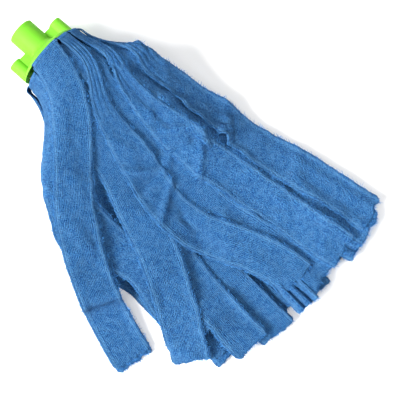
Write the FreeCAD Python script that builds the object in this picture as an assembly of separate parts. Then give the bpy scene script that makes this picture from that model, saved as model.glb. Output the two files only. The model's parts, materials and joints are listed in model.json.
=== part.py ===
"""Microfibre strip mop head, lying on its side on a flat surface.

A moulded cap takes the handle. Twelve long cloth strips are laid across each other under the cap
and clamped at their middles by a plate and two screws, so each strip gives two loose tails.

Millimetres. +X runs from the handle socket to the strip ends, +Z is up, and the origin is the
centre of the socket's mouth, on the bore's axis.
"""
import FreeCAD, Part
import math
import os

Vector = FreeCAD.Vector
AXIS = Vector(1, 0, 0)
ORIGIN = Vector(0, 0, 0)

# Handle socket
BORE_RADIUS = 11.1
BORE_DEPTH = 33.6
TUBE_RADIUS = 12.75
MOUTH_CHAMFER = 0.8

# Cap
CAP_BOTTOM = 36.0
SKIRT_TOP = 24.0
SKIRT_RADIUS = 31.2
SKIRT_WALL = 2.4
# Skirt's outside between the tube and the rim, and its inside from the rim to the tube, as (x, radius)
SKIRT_CREST = [(27.0, 14.6), (29.6, 19.5), (31.8, 25.5), (33.6, 29.4)]
SKIRT_HOLLOW = [(35.0, 28.2), (32.6, 21.0), (31.6, 12.75)]
BOSS_OFFSET = 25.2
BOSS_RADIUS = 6.4
BOSS_TOP = 17.0
BOSS_ROUNDING = 1.0
WEB_THICKNESS = 8.0
WEB_TOP = 18.5

# Clamp plate and screws
PLATE_THICKNESS = 4.5
PLATE_RADIUS = 21.0
LOBE_RADIUS = 3.8
PLATE_ROUNDING = 1.0
SCREW_RADIUS = 1.6
SCREW_TIP = 21.0
SCREW_POINT_LENGTH = 2.5
SCREW_POINT_RADIUS = 0.3
SCREW_HEAD_RADIUS = 3.0
SCREW_HEAD_HEIGHT = 2.0
RECESS_LENGTH = 3.4
RECESS_WIDTH = 0.9
RECESS_DEPTH = 1.2

# Cloth strips
STRIP_WIDTH = 36.0
STRIP_THICKNESS = 2.3
CLAMPED_THICKNESS = 1.0
TAIL_LENGTH = 305.0
TAIL_GAP = 0.3
STATIONS = 14
STATION_SPREAD = 1.15
THICKENING_LENGTH = 16.0
BEND_RADIUS = 3.7
LAYER_PITCH = 3.4
RIM_RADIUS = 37.0
STRIPS_PER_LAYER = 4

# Each layer: name, each strip's angle from +Z towards +Y, and how wide it is gathered at the rim
LAYERS = [
    ("outer", (-8.0, 28.0, 50.0, 74.0), (33.0, 12.0, 12.0, 14.0)),
    ("middle", (-62.5, -17.5, 27.5, 72.5), (24.0, 24.0, 24.0, 24.0)),
    ("inner", (-75.0, -30.0, 15.0, 60.0), (21.5, 21.5, 21.5, 21.5)),
]

# The heap that the tails make, from the round rim to the flat, wide fan of ends
RIM_END = 48.0
HEAP_RADIUS = 12.0
HEAP_FLAT_END = 260.0
FAN_FLAT = 162.0
FAN_LENGTH = 150.0
DRIFT = -22.0
DRIFT_START = 60.0
DRIFT_LENGTH = 120.0
WIDENING_START = 70.0
WIDENING_LENGTH = 120.0

STACK_HEIGHT = CLAMPED_THICKNESS * STRIPS_PER_LAYER * len(LAYERS)
PLATE_TOP = CAP_BOTTOM + STACK_HEIGHT
FLOOR = -RIM_RADIUS - STRIP_THICKNESS / 2

# Where each tail lies: its distance along X, and its distance from the centre plane measured over
# the heap, at a few places from the rim to its end. Four strips in each layer.
UPPER_TAILS = {
    "outer": [
        [(75, -18), (100, -38), (150, -90), (200, -124), (245, -142), (330, -159)],
        [(75, 14), (100, -2), (150, -18), (200, -30), (235, -28), (270, -14), (305, -2), (370, 6)],
        [(75, 34), (100, 27), (150, 22), (200, 24), (260, 32), (300, 37), (370, 45)],
        [(75, 56), (100, 58), (150, 61), (215, 65), (260, 72), (300, 77), (370, 84)],
    ],
    "middle": [
        [(75, -44), (100, -57), (140, -75), (170, -97), (205, -125), (240, -141), (330, -155)],
        [(75, -16), (100, -26), (150, -37), (190, -52), (230, -69), (260, -86), (300, -112), (340, -142)],
        [(75, 13), (100, 8), (150, 6), (200, 4), (250, 7), (300, 15), (370, 27)],
        [(75, 44), (100, 43), (150, 45), (200, 50), (250, 57), (300, 65), (370, 76)],
    ],
    "inner": [
        [(75, -48), (100, -60), (135, -80), (170, -86), (210, -89), (250, -98), (350, -119)],
        [(75, -19), (100, -26), (150, -37), (200, -47), (250, -57), (290, -63), (370, -72)],
        [(75, 7), (100, 4), (150, 0), (200, -6), (250, -14), (300, -22), (370, -28)],
        [(75, 34), (100, 37), (150, 39), (200, 39), (250, 42), (300, 47), (340, 54), (380, 62)],
    ],
}
LOWER_TAILS = {
    "outer": [
        [(75, 14), (100, 23), (150, 31), (200, 37), (250, 43), (300, 50), (370, 59)],
        [(75, -12), (100, -9), (150, -9), (200, -13), (250, -17), (300, -20), (370, -22)],
        [(75, -32), (100, -36), (150, -47), (200, -56), (250, -60), (300, -62), (370, -65)],
        [(75, -53), (100, -64), (150, -86), (200, -97), (250, -101), (350, -110)],
    ],
    "middle": [
        [(75, 39), (100, 43), (150, 50), (200, 57), (250, 62), (300, 67), (370, 75)],
        [(75, 10), (100, 10), (150, 10), (200, 12), (250, 15), (300, 20), (370, 27)],
        [(75, -18), (100, -20), (150, -26), (200, -32), (250, -36), (300, -39), (370, -43)],
        [(75, -46), (100, -52), (150, -71), (200, -81), (250, -85), (350, -93)],
    ],
    "inner": [
        [(75, 42), (100, 44), (150, 47), (200, 50), (250, 53), (300, 57), (370, 63)],
        [(75, 15), (100, 14), (150, 9), (200, 7), (250, 5), (300, 3), (370, 1)],
        [(75, -9), (100, -14), (150, -27), (200, -36), (250, -40), (300, -43), (370, -47)],
        [(75, -37), (100, -44), (150, -67), (200, -79), (250, -84), (350, -93)],
    ],
}
# Tails that leave the heap and come down to the surface beside it: start and end along X, drop
SETTLING = {
    "outer_strip_1_upper_tail": (205.0, 275.0, 18.5),
    "middle_strip_1_upper_tail": (205.0, 275.0, 18.5),
}


def smooth(value):
    """Ease from 0 to 1 as value goes from 0 to 1."""
    t = min(max(value, 0.0), 1.0)
    return t * t * (3 - 2 * t)


def heap_radius(x):
    """Radius of the heap's rounded sides, at the outer layer's middle surface."""
    return RIM_RADIUS - (RIM_RADIUS - HEAP_RADIUS) * smooth((x - RIM_END) / (HEAP_FLAT_END - RIM_END))


def heap_point(x, across, depth, upper):
    """Point on a layer of the heap. depth is how far it lies inside the outer layer."""
    outer = heap_radius(x)
    radius = outer - depth
    flat = FAN_FLAT * smooth((x - RIM_END) / FAN_LENGTH)
    drift = DRIFT * smooth((x - DRIFT_START) / DRIFT_LENGTH)
    offset = across - drift
    turn = max(abs(offset) - flat, 0.0) / radius
    y = math.copysign(min(abs(offset), flat) + radius * math.sin(turn), offset) + drift
    height = radius * math.cos(turn)
    middle = FLOOR + STRIP_THICKNESS / 2 + outer
    return Vector(x, y, middle + height if upper else middle - height)


def cylinder(radius, start, end, y=0.0):
    """Cylinder along X."""
    return Part.makeCylinder(radius, end - start, Vector(start, y, 0), AXIS)


def revolved(points):
    """Solid of revolution about X from a closed outline of (x, radius) points."""
    corners = [Vector(x, 0, radius) for x, radius in points]
    outline = Part.makePolygon(corners + corners[:1])
    return Part.Face(outline).revolve(ORIGIN, AXIS, 360)


def skirt():
    """Dome that spreads from the tube to the clamping rim, hollow underneath."""
    foot = Vector(CAP_BOTTOM, 0, 0)
    rim = Vector(CAP_BOTTOM, 0, SKIRT_RADIUS)
    top = Vector(SKIRT_TOP, 0, 0)
    edge = Vector(SKIRT_TOP, 0, TUBE_RADIUS)
    curve = Part.BSplineCurve()
    curve.interpolate([edge] + [Vector(x, 0, radius) for x, radius in SKIRT_CREST] + [rim])
    straight = Part.makePolygon([rim, foot, top, edge])
    dome = Part.Face(Part.Wire([curve.toShape()] + straight.Edges)).revolve(ORIGIN, AXIS, 360)
    mouth = [(CAP_BOTTOM, TUBE_RADIUS), (CAP_BOTTOM, SKIRT_RADIUS - SKIRT_WALL)]
    return dome.cut(revolved(mouth + SKIRT_HOLLOW))


def boss(side):
    """Closed boss that takes a clamping screw."""
    body = cylinder(BOSS_RADIUS, BOSS_TOP, CAP_BOTTOM, side * BOSS_OFFSET)
    top_edges = [edge for edge in body.Edges if abs(edge.CenterOfMass.x - BOSS_TOP) < 0.01]
    return body.makeFillet(BOSS_ROUNDING, top_edges)


def handle_cap():
    """Socket tube, skirt, two bosses and the webs that tie the bosses to the tube."""
    tube = cylinder(TUBE_RADIUS, 0, CAP_BOTTOM)
    mouth = [edge for edge in tube.Edges if abs(edge.CenterOfMass.x) < 0.01]
    cap = tube.makeChamfer(MOUTH_CHAMFER, mouth).fuse(skirt())
    web = Part.makeBox(CAP_BOTTOM - WEB_TOP, 2 * BOSS_OFFSET, WEB_THICKNESS,
                       Vector(WEB_TOP, -BOSS_OFFSET, -WEB_THICKNESS / 2))
    cap = cap.fuse([web, boss(-1), boss(1)])
    bores = [cylinder(BORE_RADIUS, -1, BORE_DEPTH)]
    bores += [cylinder(SCREW_RADIUS, SCREW_TIP - 1, CAP_BOTTOM, side * BOSS_OFFSET) for side in (-1, 1)]
    return cap.cut(Part.makeCompound(bores)).removeSplitter()


def clamp_plate():
    """Plate under the cloth, with a lobe for each screw."""
    bottom = PLATE_TOP + PLATE_THICKNESS
    bar = Part.makeBox(PLATE_THICKNESS, 2 * BOSS_OFFSET, 2 * LOBE_RADIUS,
                       Vector(PLATE_TOP, -BOSS_OFFSET, -LOBE_RADIUS))
    lobes = [cylinder(LOBE_RADIUS, PLATE_TOP, bottom, side * BOSS_OFFSET) for side in (-1, 1)]
    plate = cylinder(PLATE_RADIUS, PLATE_TOP, bottom).fuse([bar] + lobes).removeSplitter()
    rounded = [edge for edge in plate.Edges if abs(edge.CenterOfMass.x - PLATE_TOP) < 0.01]
    plate = plate.makeFillet(PLATE_ROUNDING, rounded)
    holes = []
    for side in (-1, 1):
        y = side * BOSS_OFFSET
        holes.append(cylinder(SCREW_RADIUS, PLATE_TOP - 1, bottom, y))
        holes.append(cylinder(SCREW_HEAD_RADIUS, bottom - SCREW_HEAD_HEIGHT, bottom + 1, y))
    return plate.cut(Part.makeCompound(holes))


def screw(side):
    """Self-tapping screw driven from the plate into a boss, with a cross recess."""
    y = side * BOSS_OFFSET
    seat = PLATE_TOP + PLATE_THICKNESS - SCREW_HEAD_HEIGHT
    head_end = seat + SCREW_HEAD_HEIGHT
    shank = cylinder(SCREW_RADIUS, SCREW_TIP + SCREW_POINT_LENGTH, head_end, y)
    point = Part.makeCone(SCREW_POINT_RADIUS, SCREW_RADIUS, SCREW_POINT_LENGTH, Vector(SCREW_TIP, y, 0), AXIS)
    body = shank.fuse([point, cylinder(SCREW_HEAD_RADIUS, seat, head_end, y)])
    for across, along in ((RECESS_LENGTH, RECESS_WIDTH), (RECESS_WIDTH, RECESS_LENGTH)):
        corner = Vector(head_end - RECESS_DEPTH, y - across / 2, -along / 2)
        body = body.cut(Part.makeBox(RECESS_DEPTH + 1, across, along, corner))
    return body


def clamped_middle(start, depth, angle, rim_width):
    """Middle of one strip, pressed flat between cap and plate, its two ends bent towards the tails."""
    end = start + CLAMPED_THICKNESS
    reach = RIM_RADIUS - depth - BEND_RADIUS
    flat = Part.makeBox(CLAMPED_THICKNESS, rim_width, 2 * reach, Vector(start, -rim_width / 2, -reach))
    bend_x = (start + end) / 2 + BEND_RADIUS
    outer = BEND_RADIUS + CLAMPED_THICKNESS / 2
    inner = BEND_RADIUS - CLAMPED_THICKNESS / 2
    ring = Part.makeTorus(reach, outer, Vector(bend_x, 0, 0), AXIS)
    ring = ring.cut(Part.makeTorus(reach, inner, Vector(bend_x, 0, 0), AXIS))
    quarter = cylinder(reach + 2 * BEND_RADIUS, bend_x - 2 * BEND_RADIUS, bend_x)
    ring = ring.common(quarter.cut(cylinder(reach, bend_x - 3 * BEND_RADIUS, bend_x + 1)))
    half_angle = rim_width / 2 / (reach + BEND_RADIUS)
    wedge_side = 3 * reach
    left = Vector(0, -wedge_side * math.sin(half_angle), wedge_side * math.cos(half_angle))
    right = Vector(0, -left.y, left.z)
    ends = []
    for turn in (0, 180):
        wedge = Part.Face(Part.makePolygon([ORIGIN, left, right, ORIGIN])).extrude(AXIS * 2 * bend_x)
        wedge.rotate(ORIGIN, AXIS, turn)
        ends.append(ring.common(wedge))
    middle = flat.fuse(ends)
    middle.rotate(ORIGIN, AXIS, -angle)
    screws = [cylinder(SCREW_RADIUS, start - 1, end + 1, side * BOSS_OFFSET) for side in (-1, 1)]
    return middle.cut(Part.makeCompound(screws))


def tail_width(x, rim_width):
    """Width of a tail, gathered at the rim and opening out to the full strip."""
    return rim_width + (STRIP_WIDTH - rim_width) * smooth((x - WIDENING_START) / WIDENING_LENGTH)


def section(centre, heading, start, depth, upper, rim_width, drop):
    """Closed outline across a tail at one place along its centre line."""
    side = Vector(-heading.y, heading.x, 0)
    half = tail_width(centre.x, rim_width) / 2
    grown = smooth((centre.x - start) / THICKENING_LENGTH)
    thickness = CLAMPED_THICKNESS + (STRIP_THICKNESS - CLAMPED_THICKNESS) * grown
    faces = []
    for face in (thickness / 2, -thickness / 2):
        row = []
        for step in (-1.0, -0.5, 0.0, 0.5, 1.0):
            place = centre + side * (half * step)
            point = heap_point(place.x, place.y, depth - face, upper)
            row.append(point - Vector(0, 0, drop))
        faces.append(row)
    edges = []
    for row in faces:
        curve = Part.BSplineCurve()
        curve.interpolate(row)
        edges.append(curve.toShape())
    edges.append(Part.makeLine(faces[0][0], faces[1][0]))
    edges.append(Part.makeLine(faces[0][-1], faces[1][-1]))
    return Part.Wire(Part.__sortEdges__(edges))


def tail(name, start, depth, across, upper, rim_width, places):
    """One loose tail, from the edge of the clamp to its cut end."""
    route = Part.BSplineCurve()
    route.interpolate([Vector(start, across, 0)] + [Vector(x, y, 0) for x, y in places])
    first, last = route.FirstParameter, route.LastParameter
    end = route.parameterAtDistance(TAIL_LENGTH, first)
    settle_start, settle_end, settle_drop = SETTLING.get(name, (0.0, 1.0, 0.0))
    distances = [TAIL_LENGTH * (step / STATIONS) ** STATION_SPREAD for step in range(STATIONS + 1)]
    sections = []
    for distance in distances:
        parameter = min(route.parameterAtDistance(distance, first) if distance else first, end, last)
        centre = route.value(parameter)
        heading = Vector(*route.tangent(parameter)[0]) if distance else AXIS
        drop = settle_drop * smooth((centre.x - settle_start) / (settle_end - settle_start))
        sections.append(section(centre, heading, start, depth, upper, rim_width, drop))
    return Part.makeLoft(sections, True, False)


def strips():
    """Every strip's clamped middle and two tails, by name."""
    nodes = {}
    for layer, (layer_name, angles, rim_widths) in enumerate(LAYERS):
        depth = layer * LAYER_PITCH
        for index, (angle, rim_width) in enumerate(zip(angles, rim_widths)):
            strip = "%s_strip_%d" % (layer_name, index + 1)
            top = CAP_BOTTOM + CLAMPED_THICKNESS * (STRIPS_PER_LAYER * layer + index)
            nodes[strip + "_clamped_middle"] = clamped_middle(top, depth, angle, rim_width)
            start = top + CLAMPED_THICKNESS / 2 + BEND_RADIUS + TAIL_GAP
            across = math.radians(angle) * (RIM_RADIUS - depth)
            for upper, side, table in ((True, "upper", UPPER_TAILS), (False, "lower", LOWER_TAILS)):
                name = "%s_%s_tail" % (strip, side)
                places = table[layer_name][index]
                root = across if upper else -across
                nodes[name] = tail(name, start, depth, root, upper, rim_width, places)
    return nodes


def main():
    os.makedirs("parts", exist_ok=True)
    nodes = {
        "handle_socket_cap": handle_cap(),
        "clamp_plate": clamp_plate(),
        "clamp_screws": Part.makeCompound([screw(-1), screw(1)]),
    }
    nodes.update(strips())
    for name, shape in nodes.items():
        shape.exportStep("parts/%s.step" % name)


main()
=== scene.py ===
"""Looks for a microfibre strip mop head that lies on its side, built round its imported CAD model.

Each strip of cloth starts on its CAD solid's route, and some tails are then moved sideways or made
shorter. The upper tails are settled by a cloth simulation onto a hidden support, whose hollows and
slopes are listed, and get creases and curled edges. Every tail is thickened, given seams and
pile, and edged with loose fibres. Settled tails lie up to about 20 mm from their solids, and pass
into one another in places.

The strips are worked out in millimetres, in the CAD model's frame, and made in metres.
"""
import json
import math

import bpy
import numpy as np
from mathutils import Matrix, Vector


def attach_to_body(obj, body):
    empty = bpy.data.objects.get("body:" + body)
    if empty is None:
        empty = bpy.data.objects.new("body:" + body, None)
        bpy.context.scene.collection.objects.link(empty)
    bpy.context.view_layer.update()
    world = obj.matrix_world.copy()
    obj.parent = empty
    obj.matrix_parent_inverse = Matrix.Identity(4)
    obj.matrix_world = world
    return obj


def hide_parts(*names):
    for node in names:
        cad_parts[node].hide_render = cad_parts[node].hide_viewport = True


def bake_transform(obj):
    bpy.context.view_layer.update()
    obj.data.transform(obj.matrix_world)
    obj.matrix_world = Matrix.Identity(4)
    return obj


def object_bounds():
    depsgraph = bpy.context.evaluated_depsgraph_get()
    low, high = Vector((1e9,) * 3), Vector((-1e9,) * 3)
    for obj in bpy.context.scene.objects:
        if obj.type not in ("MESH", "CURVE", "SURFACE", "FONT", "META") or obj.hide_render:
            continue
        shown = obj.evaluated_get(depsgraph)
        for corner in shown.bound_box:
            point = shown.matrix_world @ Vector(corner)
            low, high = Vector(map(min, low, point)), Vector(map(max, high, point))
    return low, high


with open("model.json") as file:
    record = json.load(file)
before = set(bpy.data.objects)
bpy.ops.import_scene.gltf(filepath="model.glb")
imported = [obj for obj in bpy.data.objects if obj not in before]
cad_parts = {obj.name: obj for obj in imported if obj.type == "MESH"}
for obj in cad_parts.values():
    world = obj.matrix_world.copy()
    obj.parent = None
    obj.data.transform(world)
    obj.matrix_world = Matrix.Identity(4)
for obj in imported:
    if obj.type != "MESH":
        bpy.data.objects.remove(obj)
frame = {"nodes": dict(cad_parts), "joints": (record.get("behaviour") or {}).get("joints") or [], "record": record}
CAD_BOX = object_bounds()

MM = 0.001

# Cloth strips, laid out as in the CAD model
STRIP_WIDTH = 36.0
TAIL_LENGTH = 305.0
CLAMPED_THICKNESS = 1.0
CAP_BOTTOM = 36.0
BEND_RADIUS = 3.7
LAYER_PITCH = 3.4
RIM_RADIUS = 37.0
CAD_THICKNESS = 2.3
STRIPS_PER_LAYER = 4

# Each layer: name, each strip's angle from +Z towards +Y, and how wide it is gathered at the rim
LAYERS = [
    ("outer", (-8.0, 28.0, 50.0, 74.0), (33.0, 12.0, 12.0, 14.0)),
    ("middle", (-62.5, -17.5, 27.5, 72.5), (24.0, 24.0, 24.0, 24.0)),
    ("inner", (-75.0, -30.0, 15.0, 60.0), (21.5, 21.5, 21.5, 21.5)),
]

# The heap that the tails make, from the round rim to the flat, wide fan of ends
RIM_END = 48.0
HEAP_RADIUS = 12.0
HEAP_FLAT_END = 260.0
FAN_FLAT = 162.0
FAN_LENGTH = 150.0
DRIFT = -22.0
DRIFT_START = 60.0
DRIFT_LENGTH = 120.0
WIDENING_START = 70.0
WIDENING_LENGTH = 120.0
FLOOR = -RIM_RADIUS - CAD_THICKNESS / 2

# Where each tail lies: its distance along X, and its distance from the centre plane measured over
# the heap, at a few places from the rim to its end. Four strips in each layer.
UPPER_TAILS = {
    "outer": [
        [(75, -18), (100, -38), (150, -90), (200, -124), (245, -142), (330, -159)],
        [(75, 14), (100, -2), (150, -18), (200, -30), (235, -28), (270, -14), (305, -2), (370, 6)],
        [(75, 34), (100, 27), (150, 22), (200, 24), (260, 32), (300, 37), (370, 45)],
        [(75, 56), (100, 58), (150, 61), (215, 65), (260, 72), (300, 77), (370, 84)],
    ],
    "middle": [
        [(75, -44), (100, -57), (140, -75), (170, -97), (205, -125), (240, -141), (330, -155)],
        [(75, -16), (100, -26), (150, -37), (190, -52), (230, -69), (260, -86), (300, -112), (340, -142)],
        [(75, 13), (100, 8), (150, 6), (200, 4), (250, 7), (300, 15), (370, 27)],
        [(75, 44), (100, 43), (150, 45), (200, 50), (250, 57), (300, 65), (370, 76)],
    ],
    "inner": [
        [(75, -48), (100, -60), (135, -80), (170, -86), (210, -89), (250, -98), (350, -119)],
        [(75, -19), (100, -26), (150, -37), (200, -47), (250, -57), (290, -63), (370, -72)],
        [(75, 7), (100, 4), (150, 0), (200, -6), (250, -14), (300, -22), (370, -28)],
        [(75, 34), (100, 37), (150, 39), (200, 39), (250, 42), (300, 47), (340, 54), (380, 62)],
    ],
}
LOWER_TAILS = {
    "outer": [
        [(75, 14), (100, 23), (150, 31), (200, 37), (250, 43), (300, 50), (370, 59)],
        [(75, -12), (100, -9), (150, -9), (200, -13), (250, -17), (300, -20), (370, -22)],
        [(75, -32), (100, -36), (150, -47), (200, -56), (250, -60), (300, -62), (370, -65)],
        [(75, -53), (100, -64), (150, -86), (200, -97), (250, -101), (350, -110)],
    ],
    "middle": [
        [(75, 39), (100, 43), (150, 50), (200, 57), (250, 62), (300, 67), (370, 75)],
        [(75, 10), (100, 10), (150, 10), (200, 12), (250, 15), (300, 20), (370, 27)],
        [(75, -18), (100, -20), (150, -26), (200, -32), (250, -36), (300, -39), (370, -43)],
        [(75, -46), (100, -52), (150, -71), (200, -81), (250, -85), (350, -93)],
    ],
    "inner": [
        [(75, 42), (100, 44), (150, 47), (200, 50), (250, 53), (300, 57), (370, 63)],
        [(75, 15), (100, 14), (150, 9), (200, 7), (250, 5), (300, 3), (370, 1)],
        [(75, -9), (100, -14), (150, -27), (200, -36), (250, -40), (300, -43), (370, -47)],
        [(75, -37), (100, -44), (150, -67), (200, -79), (250, -84), (350, -93)],
    ],
}
# Tails that leave the heap and come down to the surface beside it: start and end along X, drop
SETTLING = {
    "outer_strip_1_upper_tail": (205.0, 275.0, 18.5),
    "middle_strip_1_upper_tail": (205.0, 275.0, 18.5),
}
# Tails that lie further to one side than their solids: start and end along X, and how far. The last
# number eases that in and out.
BULGES = {
    "middle_strip_1_upper_tail": (90.0, 190.0, -15.0),
    "inner_strip_1_upper_tail": (195.0, 450.0, 9.0),
    "outer_strip_4_lower_tail": (195.0, 450.0, 10.0),
    "middle_strip_4_lower_tail": (205.0, 450.0, 5.0),
    "inner_strip_4_lower_tail": (205.0, 450.0, 5.0),
    "inner_strip_3_upper_tail": (185.0, 450.0, 15.0),
    "inner_strip_2_upper_tail": (220.0, 450.0, -4.0),
    "middle_strip_3_upper_tail": (190.0, 450.0, -9.0),
    "outer_strip_3_upper_tail": (190.0, 450.0, 2.0),
    "outer_strip_4_upper_tail": (60.0, 190.0, -4.0),
}
BULGE_EASE = 35.0
# Tails shorter than the rest, as if their strip were clamped off its middle, and by how much
SHORTER = {
    "outer_strip_1_upper_tail": 24.0,
    "middle_strip_1_upper_tail": 40.0,
    "middle_strip_2_upper_tail": 15.0,
    "inner_strip_1_upper_tail": 42.0,
    "inner_strip_2_upper_tail": 8.0,
    "middle_strip_4_lower_tail": 14.0,
    "outer_strip_4_lower_tail": 30.0,
    "inner_strip_4_lower_tail": 22.0,
    "outer_strip_3_lower_tail": 9.0,
}
# Strips that show their looped terry side. The others show the flat knitted one.
TERRY = ("outer_strip_3", "outer_strip_4", "middle_strip_4", "middle_strip_1", "inner_strip_1",
         "inner_strip_4")
# Tails whose end is crumpled into folds: where that starts along the tail, fold height and width share
CRUMPLED_ENDS = {
    "inner_strip_3_upper_tail": (205.0, 4.6, 0.62),
    "outer_strip_2_lower_tail": (235.0, 2.6, 0.7),
    "middle_strip_3_lower_tail": (240.0, 2.2, 0.75),
    "inner_strip_4_upper_tail": (250.0, 1.8, 0.85),
}
# Soft creases across a tail: distance along it, height, width along the tail, slant
CREASES = {
    "outer_strip_1_upper_tail": [(120, 0.9, 7, 0.3), (152, -0.8, 9, -0.2), (186, 1.3, 6, 0.1),
                                 (222, 1.0, 8, -0.4), (262, 1.2, 7, 0.3)],
    "outer_strip_2_upper_tail": [(112, 1.2, 5, 0.9), (136, 2.6, 4, 0.5), (146, -1.6, 5, -0.4),
                                 (168, 2.9, 4, -0.7), (196, 1.4, 6, 0.6), (236, 1.6, 7, -0.5)],
    "outer_strip_3_upper_tail": [(96, 1.4, 5, -0.6), (121, 2.6, 4, 0.8), (139, -1.9, 5, 0.4),
                                 (152, 2.4, 4, -0.6), (196, 1.6, 7, 0.5), (240, 1.3, 8, -0.4)],
    "outer_strip_4_upper_tail": [(86, 1.0, 5, -0.5), (118, 1.4, 5, 0.6), (150, 2.2, 6, -0.4),
                                 (184, 2.0, 6, 0.4), (226, 1.8, 7, -0.3)],
    "middle_strip_4_upper_tail": [(96, 2.4, 6, 0.5), (132, 2.6, 6, -0.5), (170, 2.4, 6, 0.3)],
    "middle_strip_3_upper_tail": [(130, 2.2, 5, -0.6), (158, 2.4, 5, 0.5), (230, 1.6, 6, -0.3)],
    "middle_strip_2_upper_tail": [(160, 1.2, 7, 0.4), (215, 1.5, 7, -0.3), (270, 1.2, 6, 0.3)],
    "middle_strip_1_upper_tail": [(105, 1.5, 7, 0.5), (150, 1.3, 7, -0.6), (240, 1.0, 8, 0.4)],
    "inner_strip_2_upper_tail": [(190, 1.2, 8, -0.4), (250, 1.6, 7, 0.5)],
}

# Fineness of the cloth, in rows along a tail and points across it
COARSE = (56, 7)
FINE = (246, 41)
FINE_LOWER = (154, 21)
# Its thickness where it is free and where it is clamped, and the length over which that changes
CLOTH_THICKNESS = 2.5
PRESSED_THICKNESS = 0.96
THICKENING = 16.0

# Simulation, at ten times life size, where Blender's cloth behaves well
SIM_SCALE = 0.01
SIM_FRAMES = 30
PINNED_LENGTH = 22.0
FREE_LENGTH = 60.0
SLACK = 0.012

# Hidden support that holds the upper tails up: how deep inside the heap it lies, its edges across the
# heap (near the rim, at the fan, on the far side) and the stretch along X where the first becomes the
# second, and its lumps' height and size
CORE_DEPTH = 9.2
CORE_EDGES = (-196.0, -112.0, 152.0)
CORE_NARROWS = (165.0, 60.0)
CORE_LUMP = 4.5
CORE_LUMP_SIZE = (44.0, 27.0)
# Its step down on the far side: where that is at X 200 and how much further for each millimetre of X,
# how long it takes, and how far down it goes. Then its lowest height above the surface.
CORE_SHELF = (42.0, 0.11)
CORE_SHELF_X = 200.0
CORE_SHELF_LENGTH = 8.0
CORE_SLOPE = 13.0
CORE_LOWEST = 8.5
# Hollows in it that make the tails sink into gaps: X, distance across, radius, depth
CORE_HOLLOWS = [
    (136.0, -42.0, 15.0, 9.0),
    (186.0, -86.0, 16.0, 10.0),
    (208.0, -4.0, 14.0, 8.0),
    (253.0, 21.0, 15.0, 8.0),
    (262.0, -47.0, 18.0, 10.0),
    (195.0, 64.0, 20.0, 9.0),
    (274.0, 60.0, 18.0, 9.0),
]

# Plane that the simulated cloth can't fall through, from its middle to its edges
SURFACE_HALF_SIZE = 900.0

# Shaping of the cloth: how far the long edges of the upper tails curl up at most, the pitch of the
# pleats at the rim and of the folds of crumpled ends, and the height of the two kinds of pile
EDGE_CURL = 4.2
PLEAT_PITCH = 9.0
FOLD_PITCH = 12.5
TERRY_PILE = 0.16
KNIT_PILE = 0.07
# Seam along each long edge and the groove beyond it: distance from the edge, width, height or depth
SEAM = (3.1, 0.65, 0.2)
GROOVE = (1.7, 0.6, 0.25)

# Loose fibres: spacing along the long edges and number at the cut end, for upper and lower tails
FIBRE_SPACING = (0.5, 1.3)
END_FIBRES = (150, 60)
LONGEST_FIBRE = 5.0

# Knit, in centimetres, the unit of the cloth's texture coordinates
RIB_PITCH = 0.14
STITCH_PITCH = 0.13
SEAM_INSET_CM = 0.31
SEAM_WIDTH_CM = 0.09

# Stage, in metres and degrees: the floor's size and where the camera looks from
FLOOR_HALF_SIZE = 20.0
CAMERA_AZIMUTH = 41.75
CAMERA_ELEVATION = 80.27
CAMERA_TARGET = (0.2172, -0.0036, -0.031)
CAMERA_DISTANCE = 1.3385


def smooth(value):
    """Ease from 0 to 1 as value goes from 0 to 1."""
    t = np.clip(value, 0.0, 1.0)
    return t * t * (3 - 2 * t)


def unit(vectors):
    """The same directions at length 1."""
    return vectors / np.maximum(np.linalg.norm(vectors, axis=-1, keepdims=True), 1e-9)


def value_noise(u, v, seed):
    """Smooth noise between -1 and 1 with features about one unit wide."""
    size = 256
    lattice = np.random.default_rng(seed).uniform(-1, 1, (size, size))
    column, row = np.floor(u).astype(int), np.floor(v).astype(int)
    s, t = smooth(u - column), smooth(v - row)
    corner = lambda i, j: lattice[(row + j) % size, (column + i) % size]
    low = corner(0, 0) * (1 - s) + corner(1, 0) * s
    high = corner(0, 1) * (1 - s) + corner(1, 1) * s
    return low * (1 - t) + high * t


# ---------------------------------------------------------------- layout of the strips


def heap_radius(x):
    """Radius of the heap's rounded sides, at the outer layer's middle surface."""
    return RIM_RADIUS - (RIM_RADIUS - HEAP_RADIUS) * smooth((x - RIM_END) / (HEAP_FLAT_END - RIM_END))


def heap_points(x, across, depth, upper):
    """Points on a layer of the heap. depth is how far it lies inside the outer layer."""
    outer = heap_radius(x)
    radius = outer - depth
    flat = FAN_FLAT * smooth((x - RIM_END) / FAN_LENGTH)
    drift = DRIFT * smooth((x - DRIFT_START) / DRIFT_LENGTH)
    offset = across - drift
    turn = np.maximum(np.abs(offset) - flat, 0.0) / radius
    y = np.copysign(np.minimum(np.abs(offset), flat) + radius * np.sin(turn), offset) + drift
    height = radius * np.cos(turn)
    middle = FLOOR + CAD_THICKNESS / 2 + outer
    return np.stack([x, y, middle + height if upper else middle - height], -1)


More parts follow.
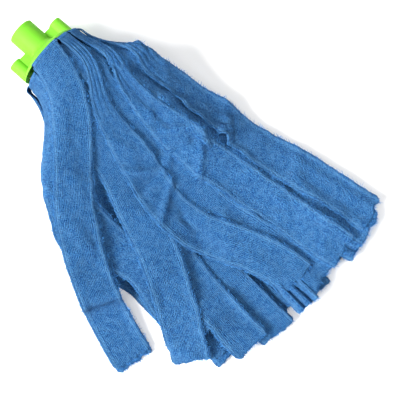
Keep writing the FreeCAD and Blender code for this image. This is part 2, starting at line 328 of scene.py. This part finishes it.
def smooth_route(places, count=800):
    """Points along the natural cubic spline through places, and their distances along it."""
    points = np.array(places, float)
    gaps = np.linalg.norm(np.diff(points, axis=0), axis=1)
    knots = np.concatenate([[0.0], np.cumsum(gaps)])
    slopes = np.diff(points, axis=0) / gaps[:, None]
    matrix = np.eye(len(points))
    change = np.zeros_like(points)
    for i in range(1, len(points) - 1):
        matrix[i, i - 1:i + 2] = gaps[i - 1], 2 * (gaps[i - 1] + gaps[i]), gaps[i]
        change[i] = 6 * (slopes[i] - slopes[i - 1])
    bend = np.linalg.solve(matrix, change)
    at = np.linspace(0, knots[-1], count)
    span = np.clip(np.searchsorted(knots, at) - 1, 0, len(gaps) - 1)
    gap = gaps[span][:, None]
    after = (at - knots[span])[:, None]
    before = gap - after
    line = (points[span] * before + points[span + 1] * after) / gap
    curve = bend[span] * (before**3 / gap - gap * before) + bend[span + 1] * (after**3 / gap - gap * after)
    route = line + curve / 6
    steps = np.linalg.norm(np.diff(route, axis=0), axis=1)
    return route, np.concatenate([[0.0], np.cumsum(steps)])


def all_tails():
    """Every tail's name and place in the stack."""
    tails = []
    for layer, (layer_name, angles, rims) in enumerate(LAYERS):
        for index in range(STRIPS_PER_LAYER):
            strip = "%s_strip_%d" % (layer_name, index + 1)
            top = CAP_BOTTOM + CLAMPED_THICKNESS * (STRIPS_PER_LAYER * layer + index)
            for upper, side, table in ((True, "upper", UPPER_TAILS), (False, "lower", LOWER_TAILS)):
                tails.append({
                    "name": "%s_%s_tail" % (strip, side),
                    "strip": strip,
                    "upper": upper,
                    "depth": layer * LAYER_PITCH,
                    "angle": math.radians(angles[index]) * (1 if upper else -1),
                    "rim": rims[index],
                    "start": top + CLAMPED_THICKNESS / 2 + BEND_RADIUS,
                    "places": table[layer_name][index],
                    "number": len(tails),
                })
    return tails


def lay_tail(tail):
    """Coarse grid of a tail's middle surface along its route, rows x columns x 3."""
    rows, columns = COARSE
    root = tail["angle"] * (RIM_RADIUS - tail["depth"])
    route, travelled = smooth_route([(tail["start"], root)] + tail["places"])
    distance = np.linspace(0, TAIL_LENGTH - SHORTER.get(tail["name"], 0.0), rows)
    centre = np.stack([np.interp(distance, travelled, route[:, k]) for k in (0, 1)], 1)
    heading = np.gradient(centre, axis=0)
    heading[0] = (1.0, 0.0)
    heading = unit(heading)
    side = np.stack([-heading[:, 1], heading[:, 0]], 1)
    x = centre[:, 0]
    width = tail["rim"] + (STRIP_WIDTH - tail["rim"]) * smooth((x - WIDENING_START) / WIDENING_LENGTH)
    step = np.linspace(-1, 1, columns)
    plan = centre[:, None] + side[:, None] * (width[:, None, None] / 2 * step[None, :, None])
    start, end, bulge = BULGES.get(tail["name"], (0.0, 1.0, 0.0))
    bulge = bulge * smooth((x - start) / BULGE_EASE)
    bulge = bulge * (1 - smooth((x - end + BULGE_EASE) / BULGE_EASE))
    grid = heap_points(plan[..., 0], plan[..., 1] + bulge[:, None], tail["depth"], tail["upper"])
    start, end, drop = SETTLING.get(tail["name"], (0.0, 1.0, 0.0))
    grid[..., 2] -= drop * smooth((x - start) / (end - start))[:, None]
    return grid


# ---------------------------------------------------------------- cloth simulation


def grid_faces(rows, columns, first=0):
    """Quads of a grid of points, numbered from first."""
    corner = (np.arange(rows - 1)[:, None] * columns + np.arange(columns - 1)[None, :] + first).ravel()
    return np.stack([corner, corner + columns, corner + columns + 1, corner + 1], 1)


def mesh_object(name, points, faces):
    """New object from points in metres and a list of faces."""
    mesh = bpy.data.meshes.new(name)
    mesh.from_pydata([tuple(p) for p in points], [], [tuple(int(i) for i in f) for f in faces])
    mesh.update()
    piece = bpy.data.objects.new(name, mesh)
    bpy.context.scene.collection.objects.link(piece)
    return piece


def collider(name, points, faces):
    """Hard surface that the simulated cloth rests on."""
    piece = mesh_object(name, points * SIM_SCALE, faces)
    piece.modifiers.new("Collision", "COLLISION")
    piece.collision.thickness_outer = CLOTH_THICKNESS / 2 * SIM_SCALE
    piece.collision.cloth_friction = 30.0
    piece.collision.damping = 0.8
    piece.collision.use_culling = False
    return piece


def layer_mesh(grids):
    """Points and faces of several tails' grids as one mesh."""
    rows, columns = COARSE
    faces = [grid_faces(rows, columns, k * rows * columns) for k in range(len(grids))]
    return np.concatenate([grid.reshape(-1, 3) for grid in grids]), np.concatenate(faces)


def first_supports():
    """The surface under the mop head, and the hidden support inside the heap."""
    corners = SURFACE_HALF_SIZE * np.array([(-1, -1, 0), (1, -1, 0), (1, 1, 0), (-1, 1, 0)], float)
    corners[:, 2] = FLOOR
    x, share = np.meshgrid(np.linspace(40.0, 365.0, 66), np.linspace(0.0, 1.0, 70), indexing="ij")
    at_rim, at_fan, far_side = CORE_EDGES
    near_edge = at_rim + (at_fan - at_rim) * smooth((x - CORE_NARROWS[0]) / CORE_NARROWS[1])
    across = near_edge + (far_side - near_edge) * share
    core = heap_points(x, across, CORE_DEPTH, True)
    lumps = CORE_LUMP * (value_noise(x / CORE_LUMP_SIZE[0], across / CORE_LUMP_SIZE[1], 3) - 0.6)
    beyond_shelf = across - CORE_SHELF[0] - CORE_SHELF[1] * (x - CORE_SHELF_X)
    slope = CORE_SLOPE * smooth(beyond_shelf / CORE_SHELF_LENGTH)
    spread = smooth((x - 70.0) / 60.0)
    for centre_x, centre_y, radius, deep in CORE_HOLLOWS:
        slope = slope + deep * np.exp(-((x - centre_x) ** 2 + (across - centre_y) ** 2) / radius**2)
    core[..., 2] = np.maximum(core[..., 2] + (lumps - slope) * spread, FLOOR + CORE_LOWEST)
    return [collider("surface", corners, [(0, 1, 2, 3)]),
            collider("heap_core", core.reshape(-1, 3), grid_faces(*x.shape))]


def settle(grids):
    """Let one layer of tails down onto what is below it, and return its settled grids."""
    rows, columns = COARSE
    points, faces = layer_mesh(grids)
    cloth = mesh_object("cloth_simulation", points * SIM_SCALE, faces)
    held = cloth.vertex_groups.new(name="held")
    distance = np.linspace(0, TAIL_LENGTH, rows)
    hold = 1 - smooth((distance - PINNED_LENGTH) / (FREE_LENGTH - PINNED_LENGTH))
    for row in np.nonzero(hold > 0.01)[0]:
        members = [int((k * rows + row) * columns + c) for k in range(len(grids)) for c in range(columns)]
        held.add(members, float(hold[row]), "REPLACE")
    modifier = cloth.modifiers.new("Cloth", "CLOTH")
    settings = modifier.settings
    settings.quality = 6
    settings.mass = 0.15
    settings.air_damping = 2.0
    settings.tension_stiffness = 20.0
    settings.compression_stiffness = 20.0
    settings.shear_stiffness = 10.0
    settings.bending_stiffness = 0.4
    settings.vertex_group_mass = "held"
    settings.shrink_min = -SLACK
    modifier.collision_settings.collision_quality = 3
    modifier.collision_settings.distance_min = CLOTH_THICKNESS / 2 * SIM_SCALE
    modifier.point_cache.frame_start = 1
    modifier.point_cache.frame_end = SIM_FRAMES
    for frame_number in range(1, SIM_FRAMES + 1):
        bpy.context.scene.frame_set(frame_number)
    evaluated = cloth.evaluated_get(bpy.context.evaluated_depsgraph_get())
    settled = np.zeros(len(points) * 3)
    evaluated.data.vertices.foreach_get("co", settled)
    bpy.context.scene.frame_set(1)
    bpy.data.objects.remove(cloth)
    return list(settled.reshape(len(grids), rows, columns, 3) / SIM_SCALE)


def settle_heap(tails, grids):
    """Settle the upper tails a layer at a time, from the inner layer outwards."""
    supports = first_supports()
    for layer_name, _, _ in reversed(LAYERS):
        names = [t["name"] for t in tails if t["upper"] and t["name"].startswith(layer_name)]
        settled = settle([grids[name] for name in names])
        grids.update(zip(names, settled))
        supports.append(collider(layer_name + "_settled", *layer_mesh(settled)))
    for piece in supports:
        bpy.data.objects.remove(piece)


# ---------------------------------------------------------------- fine cloth


def spline_weights(count, places):
    """Catmull-Rom weights that read a row of count values at fractional places."""
    base = np.clip(np.floor(places).astype(int), 0, count - 2)
    t = places - base
    shares = [(-t + 2 * t**2 - t**3) / 2, (2 - 5 * t**2 + 3 * t**3) / 2,
              (t + 4 * t**2 - 3 * t**3) / 2, (t**3 - t**2) / 2]
    weights = np.zeros((len(places), count))
    for offset, share in zip((-1, 0, 1, 2), shares):
        np.add.at(weights, (np.arange(len(places)), np.clip(base + offset, 0, count - 1)), share)
    return weights


def refine(grid, rows, columns):
    """The same surface with more rows and columns."""
    along = spline_weights(grid.shape[0], np.linspace(0, grid.shape[0] - 1, rows))
    over = spline_weights(grid.shape[1], np.linspace(0, grid.shape[1] - 1, columns))
    return np.einsum("ri,ijk,cj->rck", along, grid, over)


def normals_of(grid):
    """Unit normals of a grid, on the side that faces up when rows run +X and columns +Y."""
    return unit(np.cross(np.gradient(grid, axis=0), np.gradient(grid, axis=1)))


def ragged_end(grid, seed):
    """Shorten each column a little differently, so the cut end is uneven."""
    rows, columns = grid.shape[:2]
    across = np.linspace(0, STRIP_WIDTH, columns)
    short = 3.0 + 2.2 * value_noise(across / 13.0, np.full(columns, seed * 7.3), seed)
    short += 0.8 * value_noise(across / 2.1, np.full(columns, seed * 3.1), seed + 1)
    notch = np.random.default_rng(seed).uniform(0.15, 0.85) * STRIP_WIDTH
    short += 1.8 * np.exp(-((across - notch) / 3.5) ** 2)
    short += 3.0 * smooth((np.abs(across - STRIP_WIDTH / 2) - 14.0) / 4.0) ** 2
    out = grid.copy()
    index = np.arange(rows)
    for column in range(columns):
        reach = (rows - 1) * (1 - max(short[column], 0.0) / TAIL_LENGTH)
        for axis in range(3):
            out[:, column, axis] = np.interp(index * reach / (rows - 1), index, grid[:, column, axis])
    return out


def wavy_edges(grid, across, along, seed):
    """Let both long edges wander a little."""
    side = unit(np.gradient(grid, axis=1))
    wander = 1.7 * value_noise(along / 24.0, np.sign(across) * 5.5, seed)
    wander = wander + 0.45 * value_noise(along / 3.3, np.sign(across) * 9.5, seed + 2)
    share = smooth((np.abs(across) / (STRIP_WIDTH / 2) - 0.45) / 0.55)
    return grid + side * (wander * share * np.sign(across))[..., None]


def crease_height(name, across, along):
    """Height of the creases and slow waves that run over a tail."""
    height = 0.5 + 0.5 * value_noise(along / 23.0, across / 30.0 + 4.0, 5 + len(name))
    for distance, size, width, slant in CREASES.get(name, []):
        off = (along - distance - slant * across) / width
        height = height + size * np.exp(-off**2)
    return height


def pleats(across, along, rim, seed):
    """Folds of a strip that is gathered narrower than its width."""
    spare = math.sqrt((STRIP_WIDTH / rim) ** 2 - 1)
    size = min(0.24 * spare, 0.5)
    fade = 1 - smooth((along - 18.0) / 95.0)
    wander = 0.8 * value_noise(along / 40.0, across * 0 + seed, seed)
    return size * fade * np.sin(across * math.tau / PLEAT_PITCH + wander)


def edge_curl(across, along, seed):
    """Height by which the long edges curl up here and there."""
    curl = np.clip(value_noise(along / 34.0, np.sign(across) * 3.5 + 8.0, seed + 6), 0.0, 1.0)
    near_edge = smooth((np.abs(across) - 8.0) / 10.0)
    past_rim = smooth((along - 80.0) / 50.0)
    return EDGE_CURL * curl * near_edge * past_rim


def crumple(middle, name, across, along):
    """Gather a tail's end into folds, if it is one of the crumpled ones."""
    if name not in CRUMPLED_ENDS:
        return middle
    start, height, share = CRUMPLED_ENDS[name]
    grown = smooth((along - start) / (0.55 * (TAIL_LENGTH - start)))[..., None]
    spine = middle[:, middle.shape[1] // 2][:, None]
    wander = 1.4 * value_noise(along / 22.0, across / 30.0, 17)
    folds = np.sin(across * math.tau / FOLD_PITCH + wander)
    gathered = spine + (middle - spine) * (1 - (1 - share) * grown)
    return gathered + grown * (height * (0.35 + 0.65 * folds))[..., None] * np.array((0.12, 0.1, 1.0))


def pile(across, along, terry, seed):
    """Uneven height of the cloth's loops."""
    small = value_noise(across / 1.7, along / 1.9, seed)
    large = value_noise(across / 4.5, along / 6.0, seed + 3)
    return (TERRY_PILE if terry else KNIT_PILE) * (small + 0.6 * large)


def seam_height(across):
    """Stitched line a little inside each long edge, with a shallow groove beyond it."""
    inside = STRIP_WIDTH / 2 - np.abs(across)
    ridge, groove = (size * np.exp(-((inside - inset) / width) ** 2)
                     for inset, width, size in (SEAM, GROOVE))
    return ridge - groove


def closed_sheet(name, middle, half_top, half_bottom, across, along):
    """Closed mesh of cloth from its middle surface and the height of its faces above and below it."""
    rows, columns = middle.shape[:2]
    normal = normals_of(middle)
    top = middle + normal * half_top[..., None]
    bottom = middle - normal * half_bottom[..., None]
    bottom[..., 2] = np.maximum(bottom[..., 2], FLOOR)
    edge = (top + bottom) / 2
    top[:, (0, -1)] = edge[:, (0, -1)]
    ring = np.concatenate([top, bottom[:, -2:0:-1]], 1)
    count = ring.shape[1]
    here = np.arange(rows - 1)[:, None] * count + np.arange(count)[None, :]
    over = np.arange(rows - 1)[:, None] * count + (np.arange(count)[None, :] + 1) % count
    sides = np.stack([here, here + count, over + count, over], -1).reshape(-1, 4)
    faces = [tuple(f) for f in sides.tolist()]
    below = [0] + [count - c for c in range(1, columns - 1)] + [columns - 1]
    last = (rows - 1) * count
    for c in range(columns - 1):
        faces.append(tuple(dict.fromkeys((c, c + 1, below[c + 1], below[c]))))
        faces.append(tuple(dict.fromkeys(last + i for i in (c + 1, c, below[c], below[c + 1]))))
    piece = mesh_object(name, ring.reshape(-1, 3) * MM, faces)
    piece.data.shade_smooth()
    u = np.concatenate([across, across[:, -2:0:-1]], 1)
    v = np.concatenate([along, along[:, -2:0:-1]], 1)
    layer = piece.data.uv_layers.new(name="cloth")
    corner = np.zeros(len(piece.data.loops), int)
    piece.data.loops.foreach_get("vertex_index", corner)
    layer.data.foreach_set("uv", np.stack([u.ravel()[corner], v.ravel()[corner]], 1).ravel() / 10.0)
    return piece


def fibres(name, roots, ways, lengths, rng):
    """Tapered fibres with three sides, bent once, in one mesh."""
    count = len(roots)
    axis = unit(unit(ways) + 0.55 * rng.normal(size=(count, 3)))
    turned = unit(axis + 0.7 * rng.normal(size=(count, 3)))
    first = unit(np.cross(axis, rng.normal(size=(count, 3))))
    second = np.cross(axis, first)
    middle = roots + axis * (lengths * 0.55)[:, None]
    tip = middle + turned * (lengths * 0.45)[:, None]
    thick = rng.uniform(0.09, 0.17, count)[:, None]
    rings = []
    for centre, share in ((roots - axis * 0.3, 1.0), (middle, 0.8)):
        for k in range(3):
            angle = math.tau * k / 3
            rings.append(centre + thick * share * (math.cos(angle) * first + math.sin(angle) * second))
    points = np.stack(rings + [tip], 1).reshape(-1, 3)
    points[:, 2] = FLOOR + np.abs(points[:, 2] - FLOOR)
    pattern = [(2, 1, 0), (0, 1, 4, 3), (1, 2, 5, 4), (2, 0, 3, 5), (3, 4, 6), (4, 5, 6), (5, 3, 6)]
    faces = [tuple(7 * k + i for i in f) for k in range(count) for f in pattern]
    return mesh_object(name, points * MM, faces)


def fringe(name, middle, terry, fine, rng):
    """Loose fibres along a tail's long edges and cut end."""
    rows = middle.shape[0]
    side = unit(np.gradient(middle, axis=1))
    forward = unit(np.gradient(middle, axis=0))
    roots, ways, lengths = [], [], []
    spacing = FIBRE_SPACING[0 if fine else 1]
    count = int(TAIL_LENGTH / spacing)
    for column, way in ((0, -1), (-1, 1)):
        at = rng.uniform(0.05, 1, count) * (rows - 1)
        row = at.astype(int).clip(0, rows - 2)
        share = (at - row)[:, None]
        roots.append(middle[row, column] * (1 - share) + middle[row + 1, column] * share)
        ways.append(side[row, column] * way)
        tufts = 0.6 + 0.8 * np.abs(value_noise(at / rows * 30, at * 0 + column, 11))
        lengths.append(rng.gamma(2.2, 0.95 if terry else 0.8, count) * tufts)
    count = END_FIBRES[0 if fine else 1]
    at = rng.uniform(0, 1, count) * (middle.shape[1] - 1)
    column = at.astype(int).clip(0, middle.shape[1] - 2)
    share = (at - column)[:, None]
    roots.append(middle[-1, column] * (1 - share) + middle[-1, column + 1] * share)
    ways.append(forward[-1, column])
    lengths.append(rng.gamma(2.5, 0.9, count))
    lengths = np.clip(np.concatenate(lengths), 0.3, LONGEST_FIBRE)
    return fibres(name, np.concatenate(roots), np.concatenate(ways), lengths, rng)


def make_tail(tail, grid, materials):
    """A tail's cloth and its loose fibres."""
    rows, columns = FINE if tail["upper"] else FINE_LOWER
    terry = tail["strip"].startswith(TERRY)
    seed = 40 + tail["number"] * 10
    fine = ragged_end(refine(grid, rows, columns), seed)
    along, across = np.meshgrid(np.linspace(0, TAIL_LENGTH, rows),
                                np.linspace(-STRIP_WIDTH / 2, STRIP_WIDTH / 2, columns), indexing="ij")
    fine = wavy_edges(fine, across, along, seed)
    shape = crease_height(tail["name"], across, along) if tail["upper"] else 0.0
    grown = smooth(along / THICKENING)
    if tail["upper"]:
        shape = shape + edge_curl(across, along, seed)
    lift = shape * grown * smooth((along - 30.0) / 40.0) + pleats(across, along, tail["rim"], seed) * grown
    middle = crumple(fine + normals_of(fine) * lift[..., None], tail["name"], across, along)
    half = (PRESSED_THICKNESS + (CLOTH_THICKNESS - PRESSED_THICKNESS) * grown) / 2
    half = half * (1 - 0.35 * smooth((np.abs(across) - 14.5) / 3.5))
    detail = seam_height(across) * grown
    top = half + detail + pile(across, along, terry, seed + 4) * grown
    bottom = half + detail + pile(across, along, terry, seed + 5) * grown
    texture_along = along + tail["number"] * 400.0
    cloth = closed_sheet(tail["name"] + "_cloth", middle, top, bottom, across, texture_along)
    cloth.data.materials.append(materials["terry" if terry else "knit"])
    edge = fringe(tail["name"] + "_fibres", middle, terry, tail["upper"], np.random.default_rng(seed))
    edge.data.materials.append(materials["fibre"])
    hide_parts(tail["name"])
    return [cloth, edge]


def make_middle(tail, materials):
    """Clamped middle of a strip: flat between cap and plate, and turned down at both ends."""
    reach = RIM_RADIUS - tail["depth"] - BEND_RADIUS
    half_angle = tail["rim"] / 2 / (reach + BEND_RADIUS)
    flat_x = tail["start"] - BEND_RADIUS
    bend = np.linspace(0, math.pi / 2, 9)[1:]
    radii = np.concatenate([-(reach + BEND_RADIUS * np.sin(bend[::-1])), np.linspace(-reach, reach, 25),
                            reach + BEND_RADIUS * np.sin(bend)])
    turned = BEND_RADIUS * (1 - np.cos(bend))
    x = flat_x + np.concatenate([turned[::-1], np.zeros(25), turned])
    step = np.linspace(-1, 1, 21)
    flat = np.abs(radii)[:, None] <= reach
    turn = step[None, :] * half_angle
    sideways = np.where(flat, step[None, :] * tail["rim"] / 2, np.abs(radii)[:, None] * np.sin(turn))
    outwards = radii[:, None] * np.cos(turn)
    angle = tail["angle"]
    y = outwards * math.sin(angle) + sideways * math.cos(angle)
    z = outwards * math.cos(angle) - sideways * math.sin(angle)
    middle = np.stack([np.broadcast_to(x[:, None], y.shape), y, z], -1)
    along = np.broadcast_to(radii[:, None], y.shape)
    across = np.broadcast_to(step[None, :] * tail["rim"] / 2, y.shape)
    half = np.full(y.shape, PRESSED_THICKNESS / 2)
    name = tail["strip"] + "_clamped_middle"
    piece = closed_sheet(name + "_cloth", middle, half, half, across, along)
    piece.data.materials.append(materials["knit"])
    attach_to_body(piece, "head")
    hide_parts(name)


# ---------------------------------------------------------------- materials


class Nodes:
    """Short way to build a material's nodes."""

    def __init__(self, name):
        self.material = bpy.data.materials.new(name)
        self.material.use_nodes = True
        self.tree = self.material.node_tree
        self.shader = self.tree.nodes["Principled BSDF"]

    def add(self, kind, inputs=(), **settings):
        """New node with its settings, and inputs given as (socket, value or output)."""
        node = self.tree.nodes.new(kind)
        for key, value in settings.items():
            setattr(node, key, value)
        for socket, value in inputs:
            self.plug(node.inputs[socket], value)
        return node

    def plug(self, socket, value):
        """Link an output to a socket, or set the socket's value."""
        if isinstance(value, bpy.types.NodeSocket):
            self.tree.links.new(value, socket)
        else:
            socket.default_value = value

    def math(self, operation, *values):
        """Output of a Math node."""
        node = self.add("ShaderNodeMath", list(enumerate(values)), operation=operation)
        return node.outputs[0]

    def wave(self, value, pitch):
        """Sine of a length, once for each pitch."""
        return self.math("SINE", self.math("MULTIPLY", value, math.tau / pitch))

    def noise(self, vector, scale, detail=2.0, roughness=0.5):
        """Output of a Noise texture, from 0 to 1."""
        node = self.add("ShaderNodeTexNoise", [("Vector", vector), ("Scale", scale), ("Detail", detail),
                                               ("Roughness", roughness)])
        return node.outputs["Fac"]

    def ramp(self, factor, low, high, start=0.0, end=1.0):
        """Output of a Map Range node."""
        node = self.add("ShaderNodeMapRange", [("Value", factor), ("From Min", start), ("From Max", end),
                                               ("To Min", low), ("To Max", high)])
        return node.outputs["Result"]

    def mix(self, factor, first, second, blend="MIX"):
        """Output of a colour Mix node."""
        node = self.add("ShaderNodeMix", data_type="RGBA", blend_type=blend)
        self.plug(node.inputs[0], factor)
        self.plug(node.inputs[6], first)
        self.plug(node.inputs[7], second)
        return node.outputs[2]

    def set(self, **values):
        """Set the shader's inputs. Underscores stand for spaces."""
        for key, value in values.items():
            self.plug(self.shader.inputs[key.replace("_", " ")], value)


def cloth_material(name, terry):
    """Blue microfibre: ribbed knit, or rougher looped terry, with paler stitched edges and painted shade in the
    hollows of its pile.
    """
    nodes = Nodes(name)
    place = nodes.add("ShaderNodeUVMap", uv_map="cloth").outputs["UV"]
    split = nodes.add("ShaderNodeSeparateXYZ", [("Vector", place)])
    across, along = split.outputs["X"], split.outputs["Y"]
    wobble = nodes.ramp(nodes.noise(place, 2.6), -0.07, 0.07)
    ribs = nodes.wave(nodes.math("ADD", across, wobble), RIB_PITCH)
    stitches = nodes.wave(nodes.math("ADD", along, wobble), STITCH_PITCH)
    knit = nodes.math("MULTIPLY_ADD", ribs, 0.7, nodes.math("MULTIPLY", stitches, 0.3))
    loops = nodes.add("ShaderNodeTexVoronoi", [("Vector", place), ("Scale", 8.0), ("Randomness", 1.0)])
    loop_height = nodes.ramp(loops.outputs["Distance"], 1.0, -1.0, 0.0, 0.75)
    fluff = nodes.ramp(nodes.noise(place, 9.0, 4.0, 0.7), -1.0, 1.0, 0.25, 0.75)
    shares = (0.2, 0.6, 1.1) if terry else (0.5, 0.5, 1.15)
    height = nodes.math("MULTIPLY", knit, shares[0])
    height = nodes.math("MULTIPLY_ADD", loop_height, shares[1], height)
    height = nodes.math("MULTIPLY_ADD", fluff, shares[2], height)
    # Painted shade: where the pile is low, the colour goes towards deep blue, standing for the shade in the
    # hollows between its loops
    pile_hollow_shade = nodes.ramp(height, 0.0, 1.0, -1.2, 0.5)
    patches = nodes.noise(place, 1.6, 4.0, 0.7)
    inside = nodes.math("SUBTRACT", STRIP_WIDTH / 20, nodes.math("ABSOLUTE", across))
    off = nodes.math("DIVIDE", nodes.math("SUBTRACT", inside, SEAM_INSET_CM), SEAM_WIDTH_CM)
    fall = nodes.math("MULTIPLY", nodes.math("MULTIPLY", off, off), -1.0)
    seam = nodes.math("POWER", math.e, fall)
    # deep is the colour of the painted shade in the pile's hollows
    deep = (0.006, 0.052, 0.220, 1)
    body = (0.078, 0.262, 0.545, 1)
    pale = (0.205, 0.440, 0.720, 1)
    colour = nodes.mix(pile_hollow_shade, deep, body)
    colour = nodes.mix(nodes.ramp(patches, 0.0, 0.28, 0.42, 0.70), colour, pale)
    colour = nodes.mix(nodes.math("MULTIPLY", seam, 0.25), colour, pale)
    nodes.set(Base_Color=colour, Roughness=0.95, Specular_IOR_Level=0.08, Sheen_Weight=0.08,
              Sheen_Roughness=0.45, Sheen_Tint=(0.55, 0.75, 1.0, 1))
    bump = nodes.add("ShaderNodeBump",
                     [("Strength", 0.95), ("Distance", 0.0009), ("Height", height)])
    nodes.set(Normal=bump.outputs["Normal"])
    return nodes.material


def fibre_material():
    """Loose microfibre strands, a little paler than the cloth."""
    nodes = Nodes("loose_fibre")
    place = nodes.add("ShaderNodeTexCoord").outputs["Object"]
    colour = nodes.mix(nodes.noise(place, 900.0, 2.0), (0.045, 0.20, 0.50, 1), (0.12, 0.35, 0.70, 1))
    nodes.set(Base_Color=colour, Roughness=0.9, Specular_IOR_Level=0.05, Sheen_Weight=0.1,
              Sheen_Roughness=0.5, Sheen_Tint=(0.6, 0.8, 1.0, 1))
    return nodes.material


def plastic_material(name, colour, shade, roughness, subsurface):
    """Moulded polypropylene: soft light inside, faint flow marks and fine surface grain."""
    nodes = Nodes(name)
    place = nodes.add("ShaderNodeTexCoord").outputs["Object"]
    flow = nodes.noise(place, 38.0, 3.0)
    grain = nodes.noise(place, 1600.0, 2.0)
    base = nodes.mix(nodes.ramp(flow, 0.0, 0.55, 0.35, 0.7), colour, shade)
    bump = nodes.add("ShaderNodeBump", [("Strength", 0.18), ("Distance", 0.0001), ("Height", grain)])
    nodes.set(Base_Color=base, Roughness=nodes.ramp(grain, roughness - 0.05, roughness + 0.08),
              Specular_IOR_Level=0.22, Subsurface_Weight=subsurface, Subsurface_Radius=(0.35, 1.0, 0.15),
              Subsurface_Scale=0.004, Normal=bump.outputs["Normal"])
    return nodes.material


def steel_material():
    """Zinc-plated screw."""
    nodes = Nodes("zinc_plated_steel")
    place = nodes.add("ShaderNodeTexCoord").outputs["Object"]
    haze = nodes.noise(place, 500.0, 4.0)
    colour = nodes.mix(haze, (0.50, 0.51, 0.54, 1), (0.72, 0.72, 0.70, 1))
    nodes.set(Base_Color=colour, Metallic=1.0, Roughness=nodes.ramp(haze, 0.28, 0.5))
    return nodes.material


# ---------------------------------------------------------------- stage


def stage_floor():
    """Plain pale surface that the mop head lies on."""
    height = CAD_BOX[0].z
    size = FLOOR_HALF_SIZE
    corners = [(x, y, height) for x, y in ((-size, -size), (size, -size), (size, size), (-size, size))]
    floor = mesh_object("floor", corners, [(0, 1, 2, 3)])
    nodes = Nodes("pale_floor")
    nodes.set(Base_Color=(0.93, 0.93, 0.93, 1), Roughness=0.9, Specular_IOR_Level=0.1)
    floor.data.materials.append(nodes.material)


def distant_light(name, direction, strength, softness, colour):
    """Soft light from far away, so that the floor is evenly lit. softness is its angle in degrees."""
    data = bpy.data.lights.new(name, "SUN")
    data.energy = strength
    data.angle = math.radians(softness)
    data.color = colour
    light = bpy.data.objects.new(name, data)
    light.rotation_euler = (-Vector(direction)).to_track_quat("-Z", "Y").to_euler()
    bpy.context.scene.collection.objects.link(light)


def lights():
    """Main light from the lower left of the picture, weaker ones from above and behind it."""
    distant_light("key", (-0.53, -1.34, 1.3), 5.4, 28.0, (1.0, 0.99, 0.97))
    distant_light("fill", (1.1, 0.5, 1.3), 0.5, 50.0, (0.96, 0.98, 1.0))
    distant_light("top", (0.1, -0.1, 2.0), 1.5, 45.0, (1.0, 1.0, 1.0))
    world = bpy.data.worlds.new("studio")
    world.use_nodes = True
    background = world.node_tree.nodes["Background"]
    background.inputs["Color"].default_value = (1.0, 1.0, 1.0, 1.0)
    background.inputs["Strength"].default_value = 0.2
    bpy.context.scene.world = world
    bpy.context.scene.view_settings.view_transform = "Standard"
    bpy.context.scene.view_settings.look = "Medium High Contrast"


def camera():
    """Camera almost overhead, turned so that the socket points up and to the left."""
    azimuth, elevation = math.radians(CAMERA_AZIMUTH), math.radians(CAMERA_ELEVATION)
    back = Vector((math.sin(azimuth) * math.cos(elevation), -math.cos(azimuth) * math.cos(elevation),
                   math.sin(elevation)))
    data = bpy.data.cameras.new("camera")
    data.sensor_width = 36.0
    data.lens = 135.0
    data.clip_end = 60.0
    piece = bpy.data.objects.new("camera", data)
    piece.location = Vector(CAMERA_TARGET) + back * CAMERA_DISTANCE
    piece.rotation_euler = (-back).to_track_quat("-Z", "Y").to_euler()
    bpy.context.scene.collection.objects.link(piece)
    bpy.context.scene.camera = piece


# ---------------------------------------------------------------- assembly


def attach(tail, pieces):
    """Put a tail's pieces on the head's body, unless a joint moves the tail; then only bake their place into their
    mesh.
    """
    name = tail["name"]
    bodies = frame["record"]["behaviour"]["bodies"]
    joint = next((j for j in frame["joints"] if name in bodies[j["child"]]), None)
    for piece in pieces:
        if joint is None:
            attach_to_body(piece, "head")
        else:
            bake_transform(piece)


def main():
    camera()
    lights()
    stage_floor()
    materials = {
        "knit": cloth_material("microfibre_knit", False),
        "terry": cloth_material("microfibre_terry", True),
        "fibre": fibre_material(),
    }
    hard = {
        "handle_socket_cap": plastic_material("lime_gloss_plastic", (0.170, 0.485, 0.036, 1),
                                              (0.195, 0.52, 0.044, 1), 0.6, 0.15),
        "clamp_plate": plastic_material("lime_matte_plastic", (0.20, 0.60, 0.05, 1),
                                        (0.24, 0.66, 0.06, 1), 0.5, 0.1),
        "clamp_screws": steel_material(),
    }
    for node, material in hard.items():
        frame["nodes"][node].data.materials.clear()
        frame["nodes"][node].data.materials.append(material)
    tails = all_tails()
    grids = {tail["name"]: lay_tail(tail) for tail in tails}
    settle_heap(tails, grids)
    for tail in tails:
        attach(tail, make_tail(tail, grids[tail["name"]], materials))
        if tail["upper"]:
            make_middle(tail, materials)


main()
